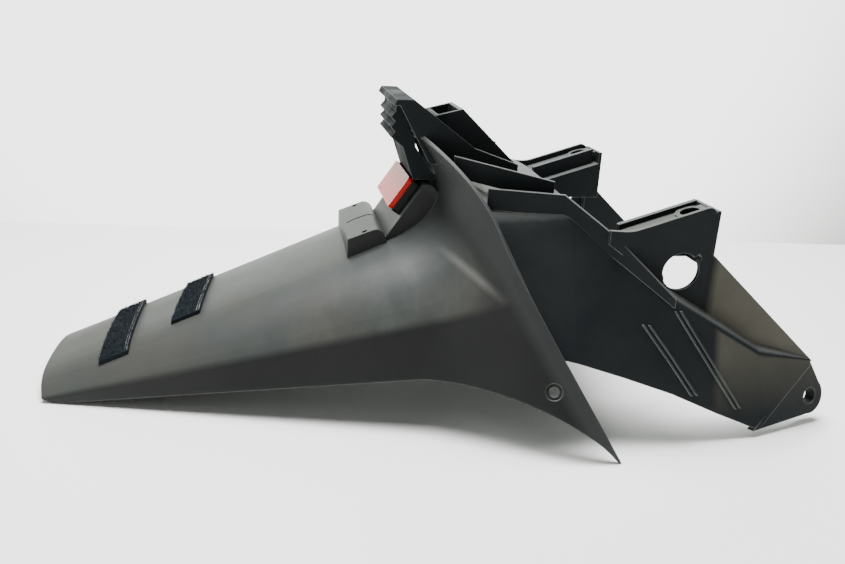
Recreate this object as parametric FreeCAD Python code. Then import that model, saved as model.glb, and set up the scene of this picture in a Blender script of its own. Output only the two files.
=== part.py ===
import FreeCAD, Part
import os
from math import cos, sin

V = FreeCAD.Vector

# Axes while modelling: x forward from the tail, y out from the centre plane, z up from the ground.

# Flap rails, from the tail to the front rim: crown on the centre plane, crease and foot on one side
flap_wall = 2.8
tail_crown = V(-20, 0, 11)
ramp_end = V(216, 0, 108)
scoop_low = V(266, 0, 128)
scoop_high = V(266, 0, 160)
rim_crown = V(230, 0, 192)
tail_crease = V(-14, 57.5, 3)
crease_end = V(245, 103.7, 72.7)
crease_turn = V(272, 108.5, 80)
crease_rise = V(286, 112, 98)
rim_crease = V(290, 112, 122)
tail_foot = V(-6, 59, 0)
hem_end = V(235, 114, 36)
hem_turn = V(262, 121, 40)
leg_sweep = V(318, 168, 42)
leg_tip = V(360, 171, 0)
ramp_share = 0.6
crease_share = 0.7
crease_soft = 0.07
skirt_soft = 0.2
crease_pull = 0.45
ramp_flat = 1.0
rim_flat = 0.15
ramp_sweep = 0.6
rim_sweep = 1.7
scoop_rows = 6
panel_strips = 8

# Rolled lip on the rim
lip_start = 0.968
lip_end = 1.012
lip_height = 1.8

# Pad for the number-plate lamp
pad_half = 41
pad_rear = 194.5
pad_front = 219
pad_rear_top = 111
pad_front_top = 120.5
pad_sink = 22
pad_round = 7
pad_screw_r = 2.2
pad_screw_half = 37
pad_screw_depth = 12
pad_end_wall = 7.5
slot_r = 25
slot_width = 2.2
slot_half = 10.5
slot_depth = 2

# Boss and reflector
boss_half = 38
boss_low = V(224, 0, 115)
boss_high = V(250, 0, 153)
boss_depth = 30
boss_round = 5
reflector_half = 32
reflector_from = 13.5
reflector_length = 27.5
base_height = 6.5
lens_height = 3.6
lens_inset = 0.8
reflector_round = 2.5
stud_r = 2.5
stud_clear = 0.3
nut_r = 4.6
nut_height = 4
washer_r = 6
washer_thick = 1

# Notch in the rim for the column, and the holes in the legs
notch_half = 31
notch_floor = 154
leg_hole_r = 3.3
leg_hole_u = 0.9
leg_hole_v = 0.932
leg_recess_r = 5.5
leg_recess_depth = 1

# Hook strips on the ramp
strip_height = 2.6
strip_width = 20
rear_strip_x = 33
rear_strip_near = 49
rear_strip_far = 44
rear_strip_skew = 0
front_strip_x = 81
front_strip_near = 35
front_strip_far = 41
front_strip_skew = 5

# Inner fender: a channel with a crowned deck, given by stations along x
inner_wall = 2.8
stations = [
    dict(x=240, foot_y=88, foot_z=126, edge_y=58, edge_z=178, crown_z=186, soft=18),
    dict(x=285, foot_y=128, foot_z=66, edge_y=87, edge_z=145, crown_z=166, soft=18),
    dict(x=335, foot_y=141, foot_z=57, edge_y=97, edge_z=147, crown_z=156, soft=10),
    dict(x=367, foot_y=144, foot_z=47, edge_y=115, edge_z=123, crown_z=132, soft=7),
    dict(x=400, foot_y=148, foot_z=36, edge_y=134, edge_z=98, crown_z=109, soft=5),
    dict(x=435, foot_y=148, foot_z=20, edge_y=133, edge_z=78, crown_z=89, soft=5),
    dict(x=470, foot_y=147, foot_z=5, edge_y=131, edge_z=58, crown_z=70, soft=5),
    dict(x=514, foot_y=128, foot_z=43, edge_y=127, edge_z=48, crown_z=58, soft=1.5),
]
seam_tuck = 4
opening_rear = 388
opening_half = 112
opening_round = 15

# Upright ribs on the deck: two beside the spine and the ledge that runs on to the tower
rib_height = 8
rib_thick = 2.8
wall_rib_height = 1.4
wall_rib_thick = 1.2
wall_rib_gap = 4
wall_rib_spans = 4
wall_rib_one = ((379, 80), (414, 34))
wall_rib_two = ((399, 90), (449, 22))
rib_root = 6
rib_one_start = V(264, 58, 167)
rib_one_end = V(330, 76, 154)
rib_two_start = V(283, 80, 150)
rib_two_end = V(332, 93, 149)
ledge_middle_x = 363
ledge_end_x = 400

# Rear column with teeth, the bar across its top, the cheeks beside it and the spine in front of it
column_rear = 224
column_top = 209
column_half = 30
column_thick = 9
column_neck = 9
column_bed = 2
tooth_count = 3
tooth_start = 13
tooth_pitch = 7
tooth_depth = 3
bar_half = 42
bar_length = 14
bar_height = 4
cheek_turn_x = 282
cheek_turn_z = 177
cheek_end_x = 314
cheek_end_z = 166
cheek_root = 9
spine_rear = 257
spine_top = 201
spine_length = 20
spine_end_x = 319
spine_end_z = 162
spine_root = 14
spine_half = 20
spine_wall = 2.6
pocket_depth = 20

# Towers on the deck, with sloping tops
tower_out = 118
tower_in = 85
tower_front = 431
tower_rear = 356
shelf_rear = 371
shelf_z = 124.2
shelf_rise = 0.32
groove_height = 9
rail_height = 13
wall_height = 14
wall_round = 5
dip_round = 30
rail_in = 92
rail_out = 96
rail_short = 6
bolt_x = 416
bolt_y = 105
bolt_r = 6.5
bolt_ring_r = 9.5
bolt_ring_height = 1.5
signal_x = 409
signal_z = 111
signal_r = 13
key_width = 4
key_reach = 3.5
key_turn = -40
cavity_z = 112

# Gussets from the towers to the front lugs, and the lugs with their bores
gusset_top = V(428, 118, 125)
gusset_low = V(428, 118, 74)
gusset_middle = V(470, 122.3, 54)
gusset_front = V(516, 127, 46)
lug_corner = V(469, 147, 6)
lug_fold = V(499, 131, 40)
lug_nose = V(529, 126, 24)
lug_thick = 8
lug_round = 13
lug_bore_r = 6
facet_thick = 5.6
facet_overlap = 4


def bezier(a, b, c, d, s):
    r = 1 - s
    return a * r**3 + b * (3 * r * r * s) + c * (3 * r * s * s) + d * s**3


def rail(start, turn, low, high, end, u):
    if u <= ramp_share:
        return start + (turn - start) * (u / ramp_share)
    return bezier(turn, low, high, end, (u - ramp_share) / (1 - ramp_share))


def flap_rails(u):
    crown = rail(tail_crown, ramp_end, scoop_low, scoop_high, rim_crown, u)
    crease = rail(tail_crease, crease_end, crease_turn, crease_rise, rim_crease, u)
    foot = rail(tail_foot, hem_end, hem_turn, leg_sweep, leg_tip, u)
    return crown, crease, foot


def panel_shares(u):
    # how far the panel's crown follows a fourth power, and how far its rows sweep forward
    late = max(0.0, (u - ramp_share) / (1 - ramp_share))
    flat = ramp_flat + (rim_flat - ramp_flat) * late
    sweep = ramp_sweep + (rim_sweep - ramp_sweep) * late
    return flat, sweep


def panel_place(u, crown, crease, side, two, four):
    # a point, or a pole of the curve, on the panel between the creases
    flat, sweep = panel_shares(u)
    drop = crease - crown
    back = sweep * two + (1 - sweep) * four
    fall = flat * four + (1 - flat) * two
    return V(crown.x + drop.x * back, crease.y * side, crown.z + drop.z * fall)


def flap_point(u, v):
    # u runs from the tail to the rim, v from the centre to the foot, negative on the near side
    crown, crease, foot = flap_rails(u)
    share = abs(v)
    if share <= crease_share:
        side = share / crease_share
        point = panel_place(u, crown, crease, side, side**2, side**4)
    else:
        point = crease + (foot - crease) * ((share - crease_share) / (1 - crease_share))
    if v < 0:
        point.y = -point.y
    return point


def flap_normal(u, v):
    step = 1e-4
    along = flap_point(u + step, v) - flap_point(u - step, v)
    v_low = max(-1, v - step)
    v_high = min(1, v + step)
    normal = along.cross(flap_point(u, v_high) - flap_point(u, v_low))
    if abs(v) == 1:
        normal.z = 0
    return normal.normalize()


def mirrored(point):
    return V(point.x, -point.y, point.z)


def bent(points):
    curved = Part.BezierCurve()
    curved.setPoles(list(points))
    return curved.toShape()


def panel_curve(poles):
    # the panel's row, divided into strips
    pieces = []
    for k in range(panel_strips):
        piece = Part.BezierCurve()
        piece.setPoles(poles)
        piece.segment(k / panel_strips, (k + 1) / panel_strips)
        pieces.append(piece.toShape())
    return pieces


def row_edges(u, rise, sharp):
    # one row across the flap at a height above its outer face: skirt, crease, panel, crease, skirt
    crown, crease, foot = flap_rails(u)
    crown = crown + flap_normal(u, 0) * rise
    crease = crease + flap_normal(u, crease_share) * rise
    foot = foot + flap_normal(u, 1) * rise
    reach = 1 - crease_soft
    poles = []
    # these are the poles of a square and of a fourth power over the panel's width
    for side, two, four in ((-1, 1, 1), (-0.5, 0, -1), (0, -1 / 3, 1), (0.5, 0, -1), (1, 1, 1)):
        poles.append(panel_place(u, crown, crease, side * reach, two * reach**2, four * reach**4))
    over = poles[-1]
    down = crease + (foot - crease) * skirt_soft
    pull = crease_pull * over.distanceToPoint(down)
    from_over = over + (poles[-1] - poles[-2]).normalize() * pull
    from_down = down - (foot - crease).normalize() * pull
    turn = [over, down] if sharp else [over, from_over, from_down, down]
    near_turn = [mirrored(point) for point in reversed(turn)]
    near_skirt = [mirrored(foot), mirrored(down)]
    edges = [bent(near_skirt), bent(near_turn)] + panel_curve(poles) + [bent(turn), bent([down, foot])]
    return edges, foot


def flap_row(u, rise, sink):
    # one closed loop across the flap, between two skins that lie above and below its outer face
    top, top_foot = row_edges(u, rise, False)
    bottom, low_foot = row_edges(u, -sink, True)
    far = Part.makeLine(top_foot, low_foot)
    near = Part.makeLine(mirrored(low_foot), mirrored(top_foot))
    ends = [Part.makeRuledSurface(upper, lower) for upper, lower in zip(top, bottom)]
    return Part.Wire(top + [far] + bottom[::-1] + [near]), ends


def skin_solid(spans, ends):
    shell = Part.makeShell([face for span in spans for face in span.Faces] + ends)
    shell.sewShape()
    solid = Part.makeSolid(shell)
    if solid.Volume < 0:
        solid.reverse()
    return solid


def flap_skin(rise, sink):
    tail, tail_end = flap_row(0, rise, sink)
    steps = [ramp_share + (1 - ramp_share) * k / scoop_rows for k in range(scoop_rows + 1)]
    rows = [flap_row(u, rise, sink) for u in steps]
    ramp = Part.makeLoft([tail, rows[0][0]], False, True)
    scoop = Part.makeLoft([row[0] for row in rows], False, False)
    return skin_solid([ramp, scoop], tail_end + rows[-1][1])


def rim_lip():
    middle = (lip_start + lip_end) / 2
    rows = [flap_row(u, lip_height, flap_wall / 2) for u in (lip_start, middle, lip_end)]
    band = Part.makeLoft([row[0] for row in rows], False, False)
    return skin_solid([band], rows[0][1] + rows[-1][1])


def outline(points, y):
    # a closed line in the plane of one y from corners (x, z) or (x, z, radius)
    corners = [V(p[0], y, p[1]) for p in points]
    radii = [p[2] if len(p) > 2 else 0 for p in points]
    stops = []
    edges = []
    for i, corner in enumerate(corners):
        back = (corners[i - 1] - corner).normalize()
        on = (corners[(i + 1) % len(corners)] - corner).normalize()
        if radii[i] == 0:
            stops.append((corner, corner))
            continue
        half = back.getAngle(on) / 2
        reach = radii[i] * cos(half) / sin(half)
        centre = corner + (back + on).normalize() * (radii[i] / sin(half))
        middle = centre + (corner - centre).normalize() * radii[i]
        stops.append((corner + back * reach, corner + on * reach))
        edges.append(Part.Arc(stops[-1][0], middle, stops[-1][1]).toShape())
    for i, stop in enumerate(stops):
        start = stops[i - 1][1]
        if start.distanceToPoint(stop[0]) > 1e-6:
            edges.append(Part.makeLine(start, stop[0]))
    return Part.Wire(Part.sortEdges(edges)[0])


def slab(points, y_low, y_high):
    return Part.Face(outline(points, y_low)).extrude(V(0, y_high - y_low, 0))


def plate(corners, thick):
    # a flat plate on a loop of points in one plane, thick vector away from it
    return Part.Face(Part.makePolygon(list(corners) + [corners[0]])).extrude(thick)


def rod(centre, axis, radius, length):
    return Part.makeCylinder(radius, length, centre, axis)


def both(shape):
    return shape.fuse(shape.mirror(V(0, 0, 0), V(0, 1, 0)))


def largest(shape):
    return max(shape.Solids, key=lambda solid: solid.Volume)


def pad_frame():
    along = V(pad_front - pad_rear, 0, pad_front_top - pad_rear_top).normalize()
    return along, V(-along.z, 0, along.x)


def boss_frame():
    along = (boss_high - boss_low).normalize()
    return along, V(-along.z, 0, along.x)


def pad_loop():
    return [
        (pad_rear, pad_rear_top),
        (pad_front, pad_front_top, pad_round),
        (pad_front + pad_round, pad_front_top - pad_sink),
        (pad_rear, pad_rear_top - pad_sink),
    ]


def boss_loop():
    along, up = boss_frame()
    low = boss_low - along * boss_round
    return [
        (low.x, low.z),
        (boss_high.x, boss_high.z, boss_round),
        (boss_high.x + boss_depth, boss_high.z - boss_depth),
        (low.x + boss_depth, low.z - boss_depth / 2),
    ]


def pad_top():
    return V((pad_rear + pad_front) / 2, 0, (pad_rear_top + pad_front_top) / 2)


def pad_slot():
    # a crescent slot across the middle of the lamp pad
    along, up = pad_frame()
    centre = pad_top() + V(0, slot_width - slot_r, 0)
    ring = rod(centre - up * slot_depth, up, slot_r, 2 * slot_depth)
    ring = ring.cut(rod(centre - V(0, slot_width, 0) - up * slot_depth, up, slot_r, 2 * slot_depth))
    low = pad_top() - along * slot_half - up * slot_depth
    low.y = -slot_r / 2
    reach = along * (2 * slot_half)
    rise = up * (2 * slot_depth)
    window = plate([low, low + reach, low + reach + rise, low + rise], V(0, slot_r, 0))
    return ring.common(window)


def reflector_block(low, high, inset):
    # a flat rounded block on the boss face, between two heights above it
    along, up = boss_frame()
    start = boss_low + along * (reflector_from + inset) + up * low
    end = start + along * (reflector_length - 2 * inset)
    half = V(0, reflector_half - inset, 0)
    block = plate([start - half, end - half, end + half, start + half], up * (high - low))
    upright = [edge for edge in block.Edges if abs(edge.Length - (high - low)) < 1e-6]
    return block.makeFillet(reflector_round, upright)


def stud_seat():
    along, up = boss_frame()
    return boss_low + along * (reflector_from + reflector_length / 2)


def make_flap():
    along, up = boss_frame()
    pad_along, pad_up = pad_frame()
    flap = flap_skin(0, flap_wall).fuse([rim_lip(), slab(pad_loop(), -pad_half, pad_half)])
    flap = flap.fuse(slab(boss_loop(), -boss_half, boss_half))
    pad_core_half = pad_half - pad_end_wall
    boss_core_half = boss_half - flap_wall
    pad_core = slab(pad_loop(), -pad_core_half, pad_core_half)
    pad_core.translate(-pad_up * flap_wall)
    boss_core = slab(boss_loop(), -boss_core_half, boss_core_half)
    boss_core.translate(-up * flap_wall)
    notch_corner = V(rim_crown.x - boss_depth, -notch_half, notch_floor)
    notch = Part.makeBox(boss_depth * 3, 2 * notch_half, rim_crown.z, notch_corner)
    ground_corner = V(2 * tail_crown.x, -2 * leg_tip.y, -rim_crown.z)
    ground = Part.makeBox(2 * leg_tip.x, 4 * leg_tip.y, rim_crown.z, ground_corner)
    cuts = [pad_core, boss_core, notch, ground]
    cuts.append(pad_slot())
    for side in (-1, 1):
        hole = pad_top() + V(0, side * pad_screw_half, 0)
        cuts.append(rod(hole + pad_up, -pad_up, pad_screw_r, pad_screw_depth))
    cuts.append(rod(stud_seat() + up, -up, stud_r + stud_clear, flap_wall * 3))
    for v in (-leg_hole_v, leg_hole_v):
        seat = flap_point(leg_hole_u, v)
        outward = flap_normal(leg_hole_u, v)
        start = seat + outward * flap_wall
        cuts.append(rod(start, -outward, leg_hole_r, 3 * flap_wall))
        cuts.append(rod(start, -outward, leg_recess_r, flap_wall + leg_recess_depth))
    return largest(flap.cut(cuts))


def arch_edges(x, foot_y, foot_z, edge_y, edge_z, crown_z, soft, inset):
    # round the channel from one foot over the deck to the other foot
    corner = V(x, edge_y - inset, edge_z - inset)
    base = V(x, foot_y - inset, foot_z)
    crown = V(x, 0, crown_z - inset)
    down = corner + (base - corner).normalize() * soft
    over = corner + (crown - corner).normalize() * soft
    peak = V(x, 0, 2 * crown.z - over.z)
    far_base, far_down, far_corner, far_over = [V(p.x, -p.y, p.z) for p in (base, down, corner, over)]
    bend = [] if inset else [corner]
    far_bend = [] if inset else [far_corner]
    runs = [(base, down), (down, *bend, over), (over, peak, far_over)]
    runs += [(far_over, *far_bend, far_down), (far_down, far_base)]
    return base, far_base, runs


def arch_wire(station):
    start, stop, outer = arch_edges(inset=0, **station)
    inner_start, inner_stop, inner = arch_edges(inset=inner_wall, **station)
    edges = [bent(run) for run in outer]
    edges.append(Part.makeLine(stop, inner_stop))
    edges += [bent(tuple(reversed(run))) for run in reversed(inner)]
    edges.append(Part.makeLine(inner_start, start))
    return Part.Wire(edges)


def behind_seam():
    # everything behind the flap's rim, less the tuck that passes under it
    rim = [flap_point(1, k / panel_strips) for k in range(panel_strips + 1)]
    loop = [(p.x - seam_tuck, p.z) for p in rim]
    loop += [(tail_crown.x, leg_tip.z), (tail_crown.x, rim_crown.z)]
    return slab(loop, -leg_tip.y, leg_tip.y)


def deck_edge(x):
    # the edge of the deck at one x
    for low, high in zip(stations, stations[1:]):
        if low["x"] <= x <= high["x"]:
            share = (x - low["x"]) / (high["x"] - low["x"])
            y = low["edge_y"] + (high["edge_y"] - low["edge_y"]) * share
            z = low["edge_z"] + (high["edge_z"] - low["edge_z"]) * share
            return V(x, y, z)


def rib_run(stops):
    # an upright rib along points on the deck, each with its height, mitred where it turns
    quads = []
    for i, (point, height) in enumerate(stops):
        before = point - stops[i - 1][0] if i else stops[1][0] - point
        after = stops[i + 1][0] - point if i + 1 < len(stops) else before
        sides = [V(-run.y, run.x, 0).normalize() for run in (before, after)]
        middle = (sides[0] + sides[1]).normalize()
        side = middle * (rib_thick / middle.dot(sides[0]))
        low = point - V(0, 0, rib_root)
        high = point + V(0, 0, height)
        quads.append(Part.makePolygon([low, high, high + side, low + side, low]))
    return Part.makeLoft(quads, True, True)


def shelf(x):
    return shelf_z + shelf_rise * (x - shelf_rear)


def sloped(x_high, high):
    # a loop along the sloping top of a tower, up to a height above the shelf
    return [
        (shelf_rear, shelf(shelf_rear) - inner_wall),
        (x_high, shelf(x_high) - inner_wall),
        (x_high, shelf(x_high) + high),
        (shelf_rear, shelf(shelf_rear) + high),
    ]


def tower():
    nose = tower_front - wall_round
    foot = deck_edge(tower_front).z - inner_wall / 2
    outer_wall = [
        (tower_rear, deck_edge(tower_rear).z - inner_wall / 2),
        (tower_rear, deck_edge(tower_rear).z + rib_height),
        (shelf_rear, shelf(shelf_rear) + wall_height, dip_round),
        (nose, shelf(nose) + wall_height, wall_round),
        (tower_front, shelf(tower_front)),
        (tower_front, foot),
    ]
    inner_side = [
        (shelf_rear, shelf(shelf_rear)),
        (tower_front, shelf(tower_front)),
        (tower_front, cavity_z),
        (shelf_rear, cavity_z),
    ]
    front = [
        (tower_front - inner_wall, shelf(tower_front) + groove_height),
        (tower_front, shelf(tower_front) + groove_height),
        (tower_front, cavity_z),
        (tower_front - inner_wall, cavity_z),
    ]
    corner_post = [(x, z if z > cavity_z else foot) for x, z in front]
    pieces = [
        slab(inner_side, tower_in, tower_in + inner_wall),
        slab(front, tower_in, tower_out),
        slab(corner_post, tower_out - 2 * inner_wall, tower_out),
        slab(sloped(tower_front, 0), tower_in, tower_out),
        slab(sloped(tower_front, groove_height), rail_out, tower_out),
        slab(sloped(tower_front - rail_short, rail_height), rail_in, rail_out),
    ]
    up = V(-shelf_rise, 0, 1).normalize()
    seat = V(bolt_x, bolt_y, shelf(bolt_x) + groove_height)
    pieces.append(rod(seat - up, up, bolt_ring_r, bolt_ring_height + 1))
    body = slab(outer_wall, tower_out - inner_wall, tower_out).fuse(pieces)
    return body.cut(rod(seat + up * rail_height, -up, bolt_r, 3 * rail_height))


def signal_hole():
    # the keyed hole for a turn signal in a tower's outer wall
    through = 2 * inner_wall
    middle = V(signal_x, tower_out - through, signal_z)
    hole = rod(middle, V(0, 1, 0), signal_r, 2 * through)
    key = Part.makeBox(signal_r + key_reach, 2 * through, key_width, middle - V(0, 0, key_width / 2))
    key.rotate(middle, V(0, 1, 0), key_turn)
    return hole.fuse(key)


def gusset():
    loop = [gusset_top, gusset_front, gusset_middle, gusset_low]
    across = (gusset_front.y - gusset_top.y) / (gusset_front.x - gusset_top.x)
    level = [V(p.x, gusset_top.y + across * (p.x - gusset_top.x), p.z) for p in loop]
    return plate(level, V(0, -inner_wall, 0))


def lug_frame():
    along = (lug_nose - lug_corner).normalize()
    outward = along.cross(lug_fold - lug_corner).normalize()
    if outward.y < 0:
        outward = -outward
    rise = along.cross(outward)
    if rise.z < 0:
        rise = -rise
    return along, outward, rise


def on_facet(point):
    # the nearest point in the plane of the lug
    along, outward, rise = lug_frame()
    return point - outward * (point - lug_corner).dot(outward)


def lug_centre():
    along, outward, rise = lug_frame()
    return lug_nose - along * lug_round


def lug():
    along, outward, rise = lug_frame()
    top = on_facet(gusset_front)
    loop = [
        lug_corner - along * facet_overlap,
        lug_centre() - rise * lug_round,
        lug_nose,
        top,
        top - along * facet_overlap,
    ]
    facet = plate(loop, -outward * facet_thick)
    return facet.fuse(rod(lug_centre(), -outward, lug_round, lug_thick))


def lug_bore():
    along, outward, rise = lug_frame()
    return rod(lug_centre() + outward * lug_thick, -outward, lug_bore_r, 3 * lug_thick)


def column():
    loop = [(column_rear + column_bed * 2, column_top)]
    for k in range(tooth_count):
        low = column_top - tooth_start - k * tooth_pitch
        loop.append((column_rear + tooth_depth, low + tooth_pitch / 2))
        loop.append((column_rear, low))
    neck_z = column_top - tooth_start - tooth_count * tooth_pitch
    foot_z = notch_floor - column_bed
    loop.append((column_rear + column_neck, neck_z))
    loop.append((boss_high.x - column_thick, foot_z))
    loop.append((boss_high.x + column_thick, foot_z))
    loop.append((column_rear + column_neck + column_thick, neck_z))
    loop.append((column_rear + column_thick + tooth_depth, column_top))
    return slab(loop, -column_half, column_half)


def bar():
    loop = [
        (column_rear, column_top - bar_height),
        (column_rear + column_bed, column_top),
        (column_rear + bar_length, column_top),
        (column_rear + bar_length, column_top - bar_height),
    ]
    return slab(loop, -bar_half, bar_half)


def cheek():
    loop = [
        (column_rear + column_bed, column_top),
        (column_rear + bar_length, column_top),
        (cheek_turn_x, cheek_turn_z),
        (cheek_end_x, cheek_end_z),
        (cheek_end_x, cheek_end_z - cheek_root),
        (boss_high.x, cheek_end_z),
    ]
    return slab(loop, bar_half - inner_wall, bar_half)


def spine():
    loop = [
        (spine_rear, spine_top - spine_wall * 2),
        (spine_rear + spine_length, spine_top),
        (spine_end_x, spine_end_z),
        (spine_end_x, spine_end_z - spine_root),
        (spine_rear, spine_end_z),
    ]
    inside = spine_half - spine_wall
    corner = V(spine_rear + spine_wall, -inside, spine_top - pocket_depth)
    pocket = Part.makeBox(spine_length - 2 * spine_wall, 2 * inside, 2 * pocket_depth, corner)
    return slab(loop, -spine_half, spine_half).cut(pocket)


def deck_opening():
    # the front of the deck is open between the towers
    nose = stations[-1]["x"]
    height = 2 * column_top
    corner = V(opening_rear, -opening_half, -column_top / 2)
    block = Part.makeBox(nose, 2 * opening_half, height, corner)
    rear = [e for e in block.Edges if abs(e.Length - height) < 1e-6 and e.CenterOfMass.x < nose]
    return block.makeFillet(opening_round, rear)


def wall_point(x, z):
    # a point on the outer face of the side wall
    for low, high in zip(stations, stations[1:]):
        if low["x"] <= x <= high["x"]:
            share = (x - low["x"]) / (high["x"] - low["x"])
            foot = V(x, low["foot_y"] + (high["foot_y"] - low["foot_y"]) * share, 0)
            foot.z = low["foot_z"] + (high["foot_z"] - low["foot_z"]) * share
            edge = deck_edge(x)
            return edge + (foot - edge) * ((edge.z - z) / (edge.z - foot.z))


def wall_rib(start, stop):
    # a thin upright rib on the side wall, from one place (x, z) to another
    out = V(0, wall_rib_height, 0)
    root = V(0, -inner_wall / 2, 0)
    thick = V(wall_rib_thick, 0, 0)
    points = []
    for k in range(wall_rib_spans + 1):
        share = k / wall_rib_spans
        x = start[0] + (stop[0] - start[0]) * share
        z = start[1] + (stop[1] - start[1]) * share
        points.append(wall_point(x, z))
    spans = []
    for a, b in zip(points, points[1:]):
        spans.append(plate([a + root, b + root, b + out, a + out], thick))
    return spans[0].fuse(spans[1:]).removeSplitter()


def make_inner(flap):
    channel = Part.makeLoft([arch_wire(station) for station in stations], True, True)
    channel = channel.cut([behind_seam(), deck_opening()])
    rib_one = [(rib_one_start, rib_height), (rib_one_end, rib_height)]
    rib_two = [(rib_two_start, rib_height), (rib_two_end, rib_height)]
    rib_two += [(deck_edge(ledge_middle_x), rib_height), (deck_edge(ledge_end_x), 0)]
    pieces = [
        both(tower()),
        both(gusset()),
        both(lug()),
        both(cheek()),
        bar(),
        column(),
        spine(),
        both(rib_run(rib_one)),
        both(rib_run(rib_two)),
    ]
    for start, stop in (wall_rib_one, wall_rib_two):
        for shift in (0, wall_rib_gap):
            rib = wall_rib((start[0] + shift, start[1]), (stop[0] + shift, stop[1]))
            pieces.append(both(rib))
    body = channel.fuse(pieces)
    body = body.cut([flap, both(lug_bore()), both(signal_hole())])
    return largest(body)


def make_base():
    along, up = boss_frame()
    stud = rod(stud_seat(), -up, stud_r, flap_wall + washer_thick + nut_height + stud_clear)
    return reflector_block(0, base_height, 0).fuse(stud).removeSplitter()


def make_washer():
    along, up = boss_frame()
    seat = stud_seat() - up * flap_wall
    ring = rod(seat, -up, washer_r, washer_thick)
    return ring.cut(rod(seat + up, -up, stud_r + stud_clear, 3 * washer_thick))


def make_nut():
    along, up = boss_frame()
    seat = stud_seat() - up * (flap_wall + washer_thick)
    across = V(0, 1, 0)
    turn = FreeCAD.Rotation(up, 60)
    corners = []
    for k in range(6):
        corners.append(seat + across * nut_r)
        across = turn.multVec(across)
    return plate(corners, -up * nut_height).cut(rod(seat + up, -up, stud_r, 3 * nut_height))


def ramp_layer(rise):
    tail, tail_end = flap_row(0, rise, 0)
    top, top_end = flap_row(ramp_share, rise, 0)
    return skin_solid([Part.makeLoft([tail, top], False, True)], tail_end + top_end)


def hook_strip(x, near, far, skew):
    # a strip that lies on the ramp, cut to its plan
    half = strip_width / 2
    plan = [V(x - half, -near, 0), V(x + half, -near, 0)]
    plan += [V(x + skew + half, far, 0), V(x + skew - half, far, 0)]
    return largest(ramp_layer(strip_height).common(plate(plan, V(0, 0, rim_crown.z))))


os.makedirs("parts", exist_ok=True)
flap = make_flap()
nodes = {
    "fender_flap": flap,
    "inner_fender": make_inner(flap),
    "reflector_base": make_base(),
    "reflector_lens": reflector_block(base_height, base_height + lens_height, lens_inset),
    "reflector_washer": make_washer(),
    "reflector_nut": make_nut(),
    "rear_hook_strip": hook_strip(rear_strip_x, rear_strip_near, rear_strip_far, rear_strip_skew),
    "front_hook_strip": hook_strip(front_strip_x, front_strip_near, front_strip_far, front_strip_skew),
}
box = nodes["fender_flap"].optimalBoundingBox()
box.add(nodes["inner_fender"].optimalBoundingBox())
for name, shape in nodes.items():
    shape.translate(V(-box.Center.x, 0, -box.ZMin))
    shape.exportStep("parts/" + name + ".step")
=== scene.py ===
import bisect
import bpy
import math
import random
from mathutils import Matrix, Vector
from mathutils.bvhtree import BVHTree


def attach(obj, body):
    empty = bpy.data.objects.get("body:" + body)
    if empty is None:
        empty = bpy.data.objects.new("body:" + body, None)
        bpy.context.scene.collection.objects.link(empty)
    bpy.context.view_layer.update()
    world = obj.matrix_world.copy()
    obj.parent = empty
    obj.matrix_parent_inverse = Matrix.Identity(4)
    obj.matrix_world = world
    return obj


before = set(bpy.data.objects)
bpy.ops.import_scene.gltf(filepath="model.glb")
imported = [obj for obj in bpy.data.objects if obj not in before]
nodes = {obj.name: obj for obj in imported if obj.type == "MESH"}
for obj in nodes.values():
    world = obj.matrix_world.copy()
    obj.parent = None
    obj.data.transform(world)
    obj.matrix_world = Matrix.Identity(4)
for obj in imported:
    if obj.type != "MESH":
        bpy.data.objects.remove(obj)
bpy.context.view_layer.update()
down = Vector((0, 0, -1))
print("stage: frame loaded")


def colour(code):
    # sRGB hex to the linear values that shaders use
    channels = [int(code[i:i + 2], 16) / 255 for i in (1, 3, 5)]
    linear = [c / 12.92 if c <= 0.04045 else ((c + 0.055) / 1.055) ** 2.4 for c in channels]
    return (*linear, 1.0)


def addNode(tree, kind, inputs=None, **settings):
    node = tree.nodes.new(kind)
    for name, value in settings.items():
        setattr(node, name, value)
    for name, value in (inputs or {}).items():
        if isinstance(value, bpy.types.NodeSocket):
            tree.links.new(value, node.inputs[name])
        else:
            node.inputs[name].default_value = value
    return node


def newMaterial(name):
    material = bpy.data.materials.new(name)
    material.use_nodes = True
    material.node_tree.nodes.clear()
    return material, material.node_tree


def setMaterial(piece, material):
    piece.data.materials.clear()
    piece.data.materials.append(material)


def newPiece(name, points, faces, material):
    mesh = bpy.data.meshes.new(name)
    mesh.from_pydata(points, [], faces)
    mesh.materials.append(material)
    piece = bpy.data.objects.new(name, mesh)
    bpy.context.scene.collection.objects.link(piece)
    return piece


# Camera at the photograph's view, in metres and degrees, its focal length in the photograph's pixels
camera = {
    "place": (-0.1118, -0.5816, 0.2738),
    "azimuth": -11.17,
    "elevation": 19.52,
    "roll": 3.0,
    "focal": 800,
    "photoWidth": 845,
    "sensor": 36,
    "nearest": 0.01,
}


def makeCamera(spec):
    a = math.radians(spec["azimuth"])
    e = math.radians(spec["elevation"])
    r = math.radians(spec["roll"])
    right = Vector((math.cos(a), math.sin(a), 0))
    up = Vector((-math.sin(a) * math.sin(e), math.cos(a) * math.sin(e), math.cos(e)))
    forward = Vector((-math.sin(a) * math.cos(e), math.cos(a) * math.cos(e), -math.sin(e)))
    turnedRight = right * math.cos(r) + up * math.sin(r)
    turnedUp = up * math.cos(r) - right * math.sin(r)
    data = bpy.data.cameras.new("camera")
    data.sensor_width = spec["sensor"]
    data.lens = spec["focal"] / spec["photoWidth"] * spec["sensor"]
    data.clip_start = spec["nearest"]
    eye = bpy.data.objects.new("camera", data)
    turn = Matrix((turnedRight, turnedUp, -forward)).transposed()
    eye.matrix_world = Matrix.Translation(spec["place"]) @ turn.to_4x4()
    bpy.context.scene.collection.objects.link(eye)
    bpy.context.scene.camera = eye


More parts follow.
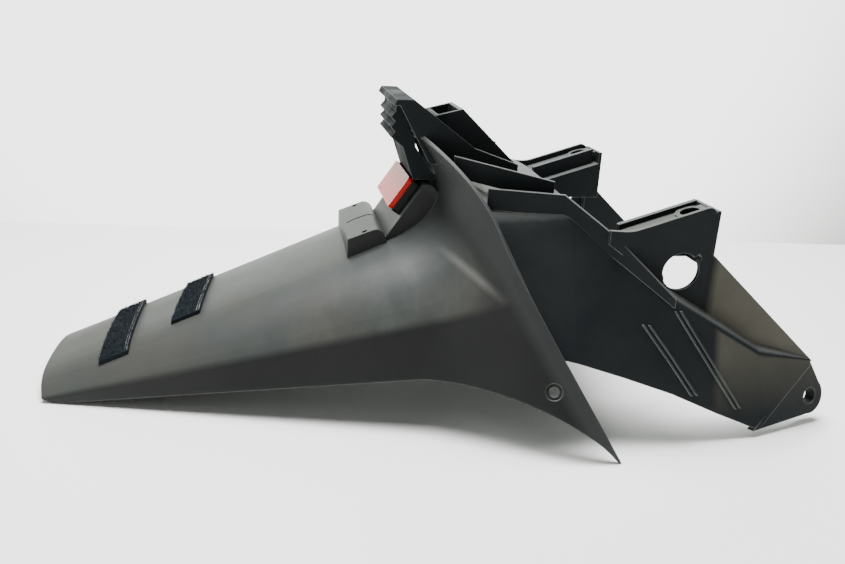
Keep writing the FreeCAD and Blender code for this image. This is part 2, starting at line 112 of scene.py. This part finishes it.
makeCamera(camera)
print("stage: camera")

# Pale table that ends some way behind the part, in front of an even bright backdrop
table = {
    "colour": "#f2f4f1",
    "mottle": 0.22,
    "gloss": (0.4, 0.55),
    "behind": 0.358,
    "turn": -6.0,
    "half": 4.0,
}


def makeTable(spec):
    # painted board: even satin white, with mottling too faint to see as a pattern
    material, tree = newMaterial("painted_board")
    place = addNode(tree, "ShaderNodeTexCoord").outputs["Object"]
    mottle = addNode(
        tree,
        "ShaderNodeTexNoise",
        {"Vector": place, "Scale": 1 / spec["mottle"], "Detail": 4.0},
    )
    rough = addNode(
        tree,
        "ShaderNodeMapRange",
        {"Value": mottle.outputs["Fac"], "To Min": spec["gloss"][0], "To Max": spec["gloss"][1]},
    )
    shader = addNode(
        tree,
        "ShaderNodeBsdfPrincipled",
        {"Base Color": colour(spec["colour"]), "Roughness": rough.outputs["Result"]},
    )
    addNode(tree, "ShaderNodeOutputMaterial", {"Surface": shader.outputs["BSDF"]})
    turn = math.radians(spec["turn"])
    along = Vector((math.cos(turn), math.sin(turn), 0)) * spec["half"]
    back = Vector((-math.sin(turn), math.cos(turn), 0))
    edge = back * spec["behind"]
    near = back * -spec["half"]
    corners = [near - along, near + along, edge + along, edge - along]
    board = newPiece("table", corners, [(0, 1, 2, 3)], material)


makeTable(table)
print("stage: table")

# Soft light: a pale wall behind the part, a pale band round a dim room, and two panels of light
room = {
    "colour": "#e6ebe5",
    "wall": {"toward": (0.1, 0.99, 0.1), "from": 0.7, "to": 0.9, "bright": 4.4, "dim": 0.1},
    "band": {"from": 0.2, "to": 0.04, "bright": 1.7},
}
lights = [
    {
        "name": "overhead",
        "place": (-0.05, 0.16, 1.35),
        "aim": (0.0, 0.0, 0.05),
        "size": (1.1, 0.7),
        "power": 74,
    },
    {
        "name": "frontLeft",
        "place": (-1.0, -0.9, 0.95),
        "aim": (0.0, 0.0, 0.08),
        "size": (1.0, 1.0),
        "power": 2,
    },
]


def makeLamps(specs):
    for spec in specs:
        data = bpy.data.lights.new(spec["name"], "AREA")
        data.shape = "RECTANGLE"
        data.size, data.size_y = spec["size"]
        data.energy = spec["power"]
        lamp = bpy.data.objects.new(spec["name"], data)
        place = Vector(spec["place"])
        lamp.location = place
        lamp.rotation_euler = (Vector(spec["aim"]) - place).to_track_quat("-Z", "Y").to_euler()
        bpy.context.scene.collection.objects.link(lamp)


def makeRoom(spec):
    world = bpy.data.worlds.new("studio")
    bpy.context.scene.world = world
    world.use_nodes = True
    tree = world.node_tree
    tree.nodes.clear()
    place = addNode(tree, "ShaderNodeTexCoord").outputs["Generated"]
    # the room is brightest towards its pale wall
    wall = spec["wall"]
    lean = addNode(tree, "ShaderNodeVectorMath", {0: place, 1: wall["toward"]}, operation="DOT_PRODUCT")
    wallLight = addNode(
        tree,
        "ShaderNodeMapRange",
        {
            "Value": lean.outputs["Value"],
            "From Min": wall["from"],
            "From Max": wall["to"],
            "To Min": wall["dim"],
            "To Max": wall["bright"],
        },
        interpolation_type="SMOOTHSTEP",
    )
    # the band near the horizon gives views from other sides a pale backdrop too
    band = spec["band"]
    height = addNode(tree, "ShaderNodeSeparateXYZ", {"Vector": place})
    bandLight = addNode(
        tree,
        "ShaderNodeMapRange",
        {
            "Value": height.outputs["Z"],
            "From Min": band["from"],
            "From Max": band["to"],
            "To Max": band["bright"],
        },
        interpolation_type="SMOOTHSTEP",
    )
    strength = addNode(
        tree,
        "ShaderNodeMath",
        {0: wallLight.outputs["Result"], 1: bandLight.outputs["Result"]},
        operation="MAXIMUM",
    )
    background = addNode(
        tree,
        "ShaderNodeBackground",
        {"Color": colour(spec["colour"]), "Strength": strength.outputs["Value"]},
    )
    addNode(tree, "ShaderNodeOutputWorld", {"Surface": background.outputs["Background"]})


makeLamps(lights)
makeRoom(room)
print("stage: lights")

# What all the mouldings share: cloudy patches, a speckled film with painted sheen on upward faces, painted
# highlights on edges and a grain etched in the tool
moulding = {
    "patchSpan": (0.35, 0.7),
    "roughSpan": (0.3, 0.7),
    "speckle": 0.02,
    "speckleSpan": (0.3, 0.7),
    "thinnestFilm": 0.8,
    "edgeBend": (0.97, 0.8),
    "grainStrength": 0.1,
    "grainDepth": 0.0003,
}


def readSurface(tree):
    # where each point lies and faces; both sides are marked alike, so the marks, painted light and wear
    # both, are placed by the near side
    place = addNode(tree, "ShaderNodeTexCoord").outputs["Object"]
    normal = addNode(tree, "ShaderNodeNewGeometry").outputs["Normal"]
    facing = addNode(tree, "ShaderNodeSeparateXYZ", {"Vector": normal}).outputs
    where = addNode(tree, "ShaderNodeSeparateXYZ", {"Vector": place}).outputs
    out = addNode(tree, "ShaderNodeMath", {0: where["Y"]}, operation="ABSOLUTE").outputs["Value"]
    nearY = addNode(tree, "ShaderNodeMath", {0: out, 1: -1.0}, operation="MULTIPLY").outputs["Value"]
    nearSide = addNode(tree, "ShaderNodeCombineXYZ", {"X": where["X"], "Y": nearY, "Z": where["Z"]})
    speckle = addNode(
        tree,
        "ShaderNodeTexNoise",
        {"Vector": place, "Scale": 1 / moulding["speckle"], "Detail": 8.0, "Roughness": 0.65},
    )
    thickness = addNode(
        tree,
        "ShaderNodeMapRange",
        {
            "Value": speckle.outputs["Fac"],
            "From Min": moulding["speckleSpan"][0],
            "From Max": moulding["speckleSpan"][1],
            "To Min": moulding["thinnestFilm"],
        },
    )
    return {
        "place": place,
        "normal": normal,
        "facing": facing,
        "where": where,
        "out": out,
        "nearSide": nearSide.outputs["Vector"],
        "thickness": thickness.outputs["Result"],
    }


def measureAlong(tree, point, start, direction):
    # how far a point lies from a start, along a direction
    away = addNode(tree, "ShaderNodeVectorMath", {0: point, 1: start}, operation="SUBTRACT")
    along = addNode(
        tree,
        "ShaderNodeVectorMath",
        {0: away.outputs["Vector"], 1: direction},
        operation="DOT_PRODUCT",
    )
    return along.outputs["Value"]


def filmAndSheenShares(tree, spot, spec):
    # where the surface faces up it is painted grey: partly a dry grey film, partly painted sheen
    upward = addNode(
        tree,
        "ShaderNodeMapRange",
        {
            "Value": spot["facing"]["Z"],
            "From Min": spec["filmAndSheenUp"][0],
            "From Max": spec["filmAndSheenUp"][1],
            "To Max": spec["filmAndSheenShare"],
        },
    )
    shares = [upward.outputs["Result"], spot["thickness"]]
    if "crease" in spec:
        # the film and painted sheen stop at the creases, so the skirts below stay black
        crease = spec["crease"]
        above = measureAlong(tree, spot["nearSide"], crease["place"], crease["inward"])
        panel = addNode(
            tree,
            "ShaderNodeMapRange",
            {"Value": above, "From Min": -crease["soft"], "From Max": crease["soft"]},
        )
        shares.append(panel.outputs["Result"])
    if "fold" in spec:
        # beyond the fold at the foot of the scoop the film and painted sheen thin out, so the scoop's face
        # is painted darker as shade
        fold = spec["fold"]
        over = measureAlong(tree, spot["nearSide"], fold["place"], fold["across"])
        past = addNode(tree, "ShaderNodeMapRange", {"Value": over, "From Max": fold["fade"]})
        beside = addNode(
            tree,
            "ShaderNodeMapRange",
            {"Value": spot["out"], "From Min": fold["out"][0], "From Max": fold["out"][1]},
        )
        thinned = addNode(
            tree,
            "ShaderNodeMath",
            {0: beside.outputs["Result"], 1: past.outputs["Result"]},
            operation="MULTIPLY",
        )
        kept = addNode(tree, "ShaderNodeMath", {0: 1.0, 1: thinned.outputs["Value"]}, operation="SUBTRACT")
        shares.append(kept.outputs["Value"])
    return shares


def foldHighlightShares(tree, spot, fold):
    # the fold itself gets a pale streak, a painted highlight
    over = measureAlong(tree, spot["nearSide"], fold["place"], fold["across"])
    along = measureAlong(tree, spot["nearSide"], fold["place"], fold["along"])
    offLine = addNode(tree, "ShaderNodeMath", {0: over}, operation="ABSOLUTE")
    offMiddle = addNode(tree, "ShaderNodeMath", {0: along}, operation="ABSOLUTE")
    slim = addNode(
        tree,
        "ShaderNodeMapRange",
        {
            "Value": offLine.outputs["Value"],
            "From Min": fold["width"],
            "From Max": 0.0,
            "To Max": fold["share"],
        },
    )
    short = addNode(
        tree,
        "ShaderNodeMapRange",
        {"Value": offMiddle.outputs["Value"], "From Min": fold["half"], "From Max": fold["half"] / 3},
    )
    return [slim.outputs["Result"], short.outputs["Result"]]


def rubShares(tree, spot, rub):
    # pale smears round one worn place
    reach = addNode(
        tree,
        "ShaderNodeVectorMath",
        {0: spot["nearSide"], 1: rub["place"]},
        operation="DISTANCE",
    )
    close = addNode(
        tree,
        "ShaderNodeMapRange",
        {
            "Value": reach.outputs["Value"],
            "From Min": rub["reach"],
            "From Max": rub["middle"],
            "To Max": rub["share"],
        },
    )
    stretch = addNode(
        tree,
        "ShaderNodeMapping",
        {"Vector": spot["place"], "Scale": [1 / size for size in rub["smear"]]},
    )
    smears = addNode(
        tree,
        "ShaderNodeTexNoise",
        {"Vector": stretch.outputs["Vector"], "Scale": 1.0, "Detail": 6.0, "Roughness": 0.6},
    )
    smeared = addNode(
        tree,
        "ShaderNodeMapRange",
        {"Value": smears.outputs["Fac"], "From Min": rub["span"][0], "From Max": rub["span"][1]},
    )
    return [smeared.outputs["Result"], close.outputs["Result"]]


def rimShares(tree, spot, rim):
    # the rolled rim catches more light than the panel behind it
    upper, lower = [measureAlong(tree, spot["place"], start, normal) for start, normal in rim["lines"]]
    nearest = addNode(tree, "ShaderNodeMath", {0: upper, 1: lower}, operation="MAXIMUM")
    band = addNode(
        tree,
        "ShaderNodeMapRange",
        {
            "Value": nearest.outputs["Value"],
            "From Min": -rim["width"],
            "From Max": -rim["width"] / 2,
            "To Max": rim["share"],
        },
    )
    return [band.outputs["Result"]]


def brownPatchShares(tree, spot, brownPatch):
    # a brown tone on upright outer faces in front of the towers, fading out low down
    hand = addNode(tree, "ShaderNodeMath", {0: spot["where"]["Y"]}, operation="SIGN")
    outward = addNode(
        tree,
        "ShaderNodeMath",
        {0: spot["facing"]["Y"], 1: hand.outputs["Value"]},
        operation="MULTIPLY",
    )
    upright = addNode(
        tree,
        "ShaderNodeMapRange",
        {
            "Value": outward.outputs["Value"],
            "From Min": brownPatch["upright"][0],
            "From Max": brownPatch["upright"][1],
        },
    )
    front = addNode(
        tree,
        "ShaderNodeMapRange",
        {
            "Value": spot["where"]["X"],
            "From Min": brownPatch["front"][0],
            "From Max": brownPatch["front"][1],
            "To Max": brownPatch["share"],
        },
    )
    height = addNode(
        tree,
        "ShaderNodeMapRange",
        {"Value": spot["where"]["Z"], "From Min": brownPatch["height"][0], "From Max": brownPatch["height"][1]},
    )
    return [upright.outputs["Result"], front.outputs["Result"], height.outputs["Result"], spot["thickness"]]


def weatheredPlastic(name, spec):
    # moulded plastic: satin black, clouded by age, with a fine grain, painted sheen on its upward faces and
    # painted highlights on its edges
    material, tree = newMaterial(name)
    spot = readSurface(tree)
    patches = addNode(
        tree,
        "ShaderNodeTexNoise",
        {"Vector": spot["place"], "Scale": 1 / spec["patch"], "Detail": 5.0, "Roughness": 0.6},
    ).outputs["Fac"]
    patchShare = addNode(
        tree,
        "ShaderNodeMapRange",
        {"Value": patches, "From Min": moulding["patchSpan"][0], "From Max": moulding["patchSpan"][1]},
    ).outputs["Result"]
    # body, and film with painted sheen, are each two tones by turns
    surface, filmAndSheen = [
        addNode(
            tree,
            "ShaderNodeMix",
            {"Factor": patchShare, "A": colour(spec[first]), "B": colour(spec[second])},
            data_type="RGBA",
        ).outputs["Result"]
        for first, second in (("dark", "worn"), ("coolFilmAndSheen", "warmFilmAndSheen"))
    ]
    onFilmAndSheen = filmAndSheenShares(tree, spot, spec)
    roughest = spec["rough"]
    if "rear" in spec:
        # behind x = until the film and painted sheen are left off and the surface is made fully rough, so
        # the tall rear of the moulding stays dull and black
        rear = spec["rear"]
        ahead = addNode(
            tree,
            "ShaderNodeMapRange",
            {
                "Value": spot["where"]["X"],
                "From Min": rear["until"],
                "From Max": rear["until"] + rear["fade"],
            },
        ).outputs["Result"]
        onFilmAndSheen.append(ahead)
        roughest = addNode(
            tree,
            "ShaderNodeMapRange",
            {"Value": ahead, "To Min": rear["rough"], "To Max": spec["rough"]},
        ).outputs["Result"]
    # layers from the bottom up, each with the shares that limit it
    layers = [(filmAndSheen, onFilmAndSheen)]
    if "fold" in spec:
        # a painted highlight along the fold
        layers.append((colour(spec["fold"]["tone"]), foldHighlightShares(tree, spot, spec["fold"])))
    if "rub" in spec:
        layers.append((colour(spec["rub"]["tone"]), rubShares(tree, spot, spec["rub"]) + onFilmAndSheen))
    if "rim" in spec:
        layers.append((colour(spec["rim"]["tone"]), rimShares(tree, spot, spec["rim"])))
    if "brownPatch" in spec:
        layers.append((colour(spec["brownPatch"]["tone"]), brownPatchShares(tree, spot, spec["brownPatch"])))
    # a moulding's edge is slightly round, and a painted highlight shows it as a thin light line
    rounded = addNode(tree, "ShaderNodeBevel", {"Radius": spec["edge"]}, samples=8).outputs["Normal"]
    bend = addNode(tree, "ShaderNodeVectorMath", {0: rounded, 1: spot["normal"]}, operation="DOT_PRODUCT")
    edgeHighlightShare = addNode(
        tree,
        "ShaderNodeMapRange",
        {
            "Value": bend.outputs["Value"],
            "From Min": moulding["edgeBend"][0],
            "From Max": moulding["edgeBend"][1],
            "To Max": spec["edgeHighlight"],
        },
    )
    layers.append((colour(spec["edgeHighlightTone"]), [edgeHighlightShare.outputs["Result"]]))
    for tone, shares in layers:
        share = shares[0]
        for limit in shares[1:]:
            product = addNode(tree, "ShaderNodeMath", {0: share, 1: limit}, operation="MULTIPLY")
            share = product.outputs["Value"]
        surface = addNode(
            tree,
            "ShaderNodeMix",
            {"Factor": share, "A": surface, "B": tone},
            data_type="RGBA",
        ).outputs["Result"]
    rough = addNode(
        tree,
        "ShaderNodeMapRange",
        {
            "Value": patches,
            "From Min": moulding["roughSpan"][0],
            "From Max": moulding["roughSpan"][1],
            "To Min": spec["smooth"],
            "To Max": roughest,
        },
    )
    # the etched grain is near 0.1 mm, and is drawn some ten times coarser so that it shows
    grain = addNode(
        tree,
        "ShaderNodeTexNoise",
        {"Vector": spot["place"], "Scale": 1 / spec["grain"], "Detail": 2.0},
    )
    bump = addNode(
        tree,
        "ShaderNodeBump",
        {
            "Height": grain.outputs["Fac"],
            "Strength": moulding["grainStrength"],
            "Distance": moulding["grainDepth"],
            "Normal": rounded,
        },
    )
    shader = addNode(
        tree,
        "ShaderNodeBsdfPrincipled",
        {
            "Base Color": surface,
            "Roughness": rough.outputs["Result"],
            "Specular IOR Level": spec["sheen"],
            "Normal": bump.outputs["Normal"],
        },
    )
    addNode(tree, "ShaderNodeOutputMaterial", {"Surface": shader.outputs["BSDF"]})
    return material


# Flap: satin black polypropylene, greyed on its top partly by weather and partly by painted sheen, with a
# painted highlight along the fold of the scoop
flap = {
    "dark": "#141515",
    "worn": "#1a1b1b",
    "coolFilmAndSheen": "#363b3a",
    "warmFilmAndSheen": "#3d3c37",
    "filmAndSheenShare": 0.95,
    "filmAndSheenUp": (0.22, 0.4),
    "crease": {
        "place": (-0.0099, -0.1037, 0.0727),
        "inward": (-0.0986, 0.6208, 0.7777),
        "soft": 0.003,
    },
    # the fold's pale tone is a painted highlight, and past the fold the scoop is painted darker as shade
    "fold": {
        "place": (0.0154, -0.0971, 0.1053),
        "along": (0.5485, -0.7564, -0.3569),
        "across": (0.711, 0.197, 0.675),
        "out": (0.036, 0.05),
        "fade": 0.026,
        "width": 0.004,
        "half": 0.034,
        "share": 0.3,
        "tone": "#858582",
    },
    "rub": {
        "place": (-0.03, -0.085, 0.075),
        "reach": 0.1,
        "middle": 0.02,
        "smear": (0.016, 0.03, 0.03),
        "span": (0.45, 0.75),
        "share": 0.08,
        "tone": "#8c8e8b",
    },
    "rim": {
        "lines": (
            ((-0.0249, 0.0, 0.192), (0.76, 0.0, 0.65)),
            ((0.0351, 0.0, 0.122), (0.867, 0.0, 0.498)),
        ),
        "width": 0.016,
        "share": 0.25,
        "tone": "#4a4d4d",
    },
    "grain": 0.0011,
    "patch": 0.09,
    "edge": 0.0012,
    "edgeHighlightTone": "#7c807f",
    "edgeHighlight": 0.35,
    "smooth": 0.45,
    "rough": 0.58,
    "sheen": 0.25,
}
setMaterial(nodes["fender_flap"], weatheredPlastic("weathered_polypropylene", flap))
print("stage: flap")

# Inner fender: deeper black, grey only on its upward faces as painted sheen, with a brown tone on the
# gussets
inner = {
    "dark": "#1a1d1f",
    "worn": "#202324",
    "coolFilmAndSheen": "#54595a",
    "warmFilmAndSheen": "#585751",
    "filmAndSheenShare": 0.85,
    "filmAndSheenUp": (0.6, 0.88),
    "rear": {"until": 0.0, "fade": 0.015, "rough": 1.0},
    "brownPatch": {
        "upright": (0.85, 0.99),
        "front": (0.176, 0.182),
        "height": (0.015, 0.06),
        "share": 0.75,
        "tone": "#5f5c52",
    },
    "grain": 0.0009,
    "patch": 0.05,
    "edge": 0.001,
    "edgeHighlightTone": "#8a8f90",
    "edgeHighlight": 0.6,
    "smooth": 0.45,
    "rough": 0.58,
    "sheen": 0.06,
}
setMaterial(nodes["inner_fender"], weatheredPlastic("black_polypropylene", inner))
print("stage: inner fender")

# Reflector: black ABS case, red lens, plated fixings behind
# the case's grey on upward faces is painted sheen, and its pale edges are painted highlights
case = {
    "dark": "#0b0b0b",
    "worn": "#111111",
    "coolFilmAndSheen": "#1c1d1d",
    "warmFilmAndSheen": "#222120",
    "filmAndSheenShare": 0.3,
    "filmAndSheenUp": (0.62, 0.88),
    "grain": 0.0008,
    "patch": 0.03,
    "edge": 0.0006,
    "edgeHighlightTone": "#3b3d3d",
    "edgeHighlight": 0.4,
    "smooth": 0.42,
    "rough": 0.55,
    "sheen": 0.16,
}
lens = {"red": "#c8140d", "deep": "#8c0806", "prism": 0.0022, "prismDepth": 0.0004}
fixing = {"bright": "#b9bab8", "dull": "#8b8c8a", "cloud": 0.003, "gloss": (0.25, 0.45)}


def redAcrylic(spec):
    # moulded acrylic: a clear glossy face over rows of small prisms, so the red looks deep and grained
    material, tree = newMaterial("red_acrylic")
    place = addNode(tree, "ShaderNodeTexCoord").outputs["Object"]
    prisms = addNode(
        tree,
        "ShaderNodeTexVoronoi",
        {"Vector": place, "Scale": 1 / spec["prism"], "Randomness": 0.0},
    ).outputs["Distance"]
    tone = addNode(
        tree,
        "ShaderNodeMix",
        {"Factor": prisms, "A": colour(spec["red"]), "B": colour(spec["deep"])},
        data_type="RGBA",
    )
    bump = addNode(
        tree,
        "ShaderNodeBump",
        {"Height": prisms, "Strength": 0.25, "Distance": spec["prismDepth"]},
    )
    shader = addNode(
        tree,
        "ShaderNodeBsdfPrincipled",
        {
            "Base Color": tone.outputs["Result"],
            "Roughness": 0.22,
            "Specular IOR Level": 0.08,
            "Normal": bump.outputs["Normal"],
            "Coat Weight": 0.11,
            "Coat Roughness": 0.08,
        },
    )
    addNode(tree, "ShaderNodeOutputMaterial", {"Surface": shader.outputs["BSDF"]})
    return material


def zincSteel(spec):
    # zinc-plated steel: a clouded plating, brighter and duller by turns
    material, tree = newMaterial("zinc_plated_steel")
    place = addNode(tree, "ShaderNodeTexCoord").outputs["Object"]
    cloud = addNode(
        tree,
        "ShaderNodeTexNoise",
        {"Vector": place, "Scale": 1 / spec["cloud"], "Detail": 4.0},
    ).outputs["Fac"]
    tone = addNode(
        tree,
        "ShaderNodeMix",
        {"Factor": cloud, "A": colour(spec["bright"]), "B": colour(spec["dull"])},
        data_type="RGBA",
    )
    rough = addNode(
        tree,
        "ShaderNodeMapRange",
        {"Value": cloud, "To Min": spec["gloss"][0], "To Max": spec["gloss"][1]},
    )
    shader = addNode(
        tree,
        "ShaderNodeBsdfPrincipled",
        {"Base Color": tone.outputs["Result"], "Metallic": 1.0, "Roughness": rough.outputs["Result"]},
    )
    addNode(tree, "ShaderNodeOutputMaterial", {"Surface": shader.outputs["BSDF"]})
    return material


setMaterial(nodes["reflector_base"], weatheredPlastic("black_abs", case))
setMaterial(nodes["reflector_lens"], redAcrylic(lens))
zinc = zincSteel(fixing)
setMaterial(nodes["reflector_washer"], zinc)
setMaterial(nodes["reflector_nut"], zinc)
print("stage: reflector")

# Hook-and-loop strips: a woven tape under a dense dark pile, with two rows of pale stitches in front
strips = [
    {
        "node": "rear_hook_strip",
        "name": "rear_strip",
        "seed": 11,
        "strands": 7000,
        "nearEdge": (-0.2122, -0.0482),
        "farEdge": (-0.2122, 0.0432),
        "loose": 26,
        "looseCorner": (-0.2309, -0.0478),
    },
    {
        "node": "front_hook_strip",
        "name": "front_strip",
        "seed": 23,
        "strands": 5700,
        "nearEdge": (-0.1642, -0.0342),
        "farEdge": (-0.1592, 0.0402),
        "loose": 10,
        "looseCorner": (-0.1829, -0.0338),
    },
]
pile = {
    "length": 0.0016,
    "shortest": 0.5,
    "width": 0.00017,
    "joints": 3,
    "sink": 0.0002,
    "spread": 0.35,
    "bow": 0.4,
    "upward": 0.6,
}
frayed = {
    "length": 0.0045,
    "shares": (0.3, 0.75),
    "area": (0.004, 0.003),
    "out": (-1, 0.1),
    "rise": (-0.3, 0.5),
    "sway": 0.3,
    "sag": -0.35,
}
thread = {
    "width": 0.0004,
    "pitch": 0.0034,
    "stitch": 0.0029,
    "insets": (0.0006, 0.0021),
    "arch": 0.0003,
    "steps": 4,
    "sides": 6,
}
cloth = {
    "dark": "#101519",
    "light": "#1e252b",
    "threadTone": "#858886",
    "weave": 0.0006,
    "tuft": 0.0012,
    "twist": 0.004,
    "contrast": (0.35, 0.68),
    "relief": 0.0003,
}


def fabric(name, first, second, spread):
    # matt nylon or polyester fibres: each tuft or twist catches the light a little differently
    material, tree = newMaterial(name)
    place = addNode(tree, "ShaderNodeTexCoord").outputs["Object"]
    tuft = addNode(
        tree,
        "ShaderNodeTexNoise",
        {"Vector": place, "Scale": 1 / spread, "Detail": 3.0},
    ).outputs["Fac"]
    share = addNode(
        tree,
        "ShaderNodeMapRange",
        {"Value": tuft, "From Min": cloth["contrast"][0], "From Max": cloth["contrast"][1]},
    )
    tone = addNode(
        tree,
        "ShaderNodeMix",
        {"Factor": share.outputs["Result"], "A": colour(first), "B": colour(second)},
        data_type="RGBA",
    )
    bump = addNode(tree, "ShaderNodeBump", {"Height": tuft, "Strength": 0.4, "Distance": cloth["relief"]})
    shader = addNode(
        tree,
        "ShaderNodeBsdfPrincipled",
        {
            "Base Color": tone.outputs["Result"],
            "Roughness": 0.8,
            "Specular IOR Level": 0.12,
            "Normal": bump.outputs["Normal"],
        },
    )
    addNode(tree, "ShaderNodeOutputMaterial", {"Surface": shader.outputs["BSDF"]})
    return material


def addStrand(points, faces, root, lean, bow, length):
    # a flat fibre that rises from its root, bows over and ends in a point
    joints = pile["joints"]
    side = lean.cross(bow).normalized() * (pile["width"] / 2)
    first = len(points)
    for k in range(joints):
        share = k / joints
        middle = root + lean * (length * share) + bow * (length * share * share)
        points += [middle - side, middle + side]
    points.append(root + lean * length + bow * length)
    for k in range(joints - 1):
        a = first + 2 * k
        faces.append((a, a + 1, a + 3, a + 2))
    faces.append((len(points) - 3, len(points) - 2, len(points) - 1))


def topOf(base):
    # the triangles of a tape's top with their normals, and the running sum of their areas
    spots = [base.matrix_world @ vertex.co for vertex in base.data.vertices]
    base.data.calc_loop_triangles()
    triangles = []
    areas = []
    for triangle in base.data.loop_triangles:
        corners = [spots[i] for i in triangle.vertices]
        across = (corners[1] - corners[0]).cross(corners[2] - corners[0])
        if across.length > 0 and across.normalized().z > pile["upward"]:
            triangles.append((corners, across.normalized()))
            areas.append((areas[-1] if areas else 0) + across.length / 2)
    tree = BVHTree.FromPolygons(spots, [tuple(face.vertices) for face in base.data.polygons])
    return triangles, areas, tree


def makePile(spec, material):
    chance = random.Random(spec["seed"])
    triangles, areas, tree = topOf(nodes[spec["node"]])
    points = []
    faces = []
    for _ in range(spec["strands"]):
        pick = bisect.bisect(areas, chance.random() * areas[-1])
        corners, normal = triangles[min(pick, len(triangles) - 1)]
        a = math.sqrt(chance.random())
        b = chance.random()
        spot = corners[0] * (1 - a) + corners[1] * (a * (1 - b)) + corners[2] * (a * b)
        root = spot - normal * pile["sink"]
        lean = Vector([chance.gauss(0, 1) for _ in range(3)]) * pile["spread"] + normal
        bow = Vector([chance.gauss(0, 1) for _ in range(3)]) * pile["bow"]
        length = pile["length"] * chance.uniform(pile["shortest"], 1.0)
        addStrand(points, faces, root, lean.normalized(), bow, length)
    # a few long fibres fray out of one corner
    x, y = spec["looseCorner"]
    for _ in range(spec["loose"]):
        aboveX = x + chance.uniform(0, frayed["area"][0])
        aboveY = y + chance.uniform(0, frayed["area"][1])
        above = Vector((aboveX, aboveY, 1))
        root = tree.ray_cast(above, down)[0]
        outX = chance.uniform(*frayed["out"])
        outY = chance.uniform(*frayed["out"])
        lean = Vector((outX, outY, chance.uniform(*frayed["rise"]))).normalized()
        bow = Vector((chance.gauss(0, frayed["sway"]), chance.gauss(0, frayed["sway"]), frayed["sag"]))
        length = frayed["length"] * chance.uniform(*frayed["shares"])
        addStrand(points, faces, root, lean, bow, length)
    piece = newPiece(spec["name"] + "_pile", points, faces, material)
    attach(piece, "root")
    return tree


def makeThreads(spec, tree, material):
    # rows of short arched stitches along the strip's front edge
    near = Vector((*spec["nearEdge"], 1))
    far = Vector((*spec["farEdge"], 1))
    along = (far - near).normalized()
    inward = Vector((-along.y, along.x, 0))
    count = int((far - near).length / thread["pitch"])
    steps = thread["steps"]
    sides = thread["sides"]
    points = []
    faces = []
    for inset in thread["insets"]:
        for i in range(count):
            start = near + along * (i * thread["pitch"]) + inward * inset
            for k in range(steps + 1):
                share = k / steps
                above = start + along * (thread["stitch"] * share)
                spot, normal = tree.ray_cast(above, down)[:2]
                middle = spot + normal * (thread["arch"] * 4 * share * (1 - share))
                first = len(points)
                for j in range(sides):
                    turn = 2 * math.pi * j / sides
                    ring = inward * math.cos(turn) + normal * math.sin(turn)
                    points.append(middle + ring * (thread["width"] / 2))
                if k:
                    for j in range(sides):
                        after = (j + 1) % sides
                        faces.append((first - sides + j, first - sides + after, first + after, first + j))
    piece = newPiece(spec["name"] + "_threads", points, faces, material)
    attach(piece, "root")


# the weave is drawn about twice as coarse as its threads, so that it shows
tapeCloth = fabric("woven_nylon", cloth["dark"], cloth["light"], cloth["weave"])
pileCloth = fabric("nylon_pile", cloth["dark"], cloth["light"], cloth["tuft"])
threadCloth = fabric("polyester_thread", cloth["threadTone"], cloth["light"], cloth["twist"])
for strip in strips:
    setMaterial(nodes[strip["node"]], tapeCloth)
    stripTop = makePile(strip, pileCloth)
    makeThreads(strip, stripTop, threadCloth)
print("stage: hook strips")
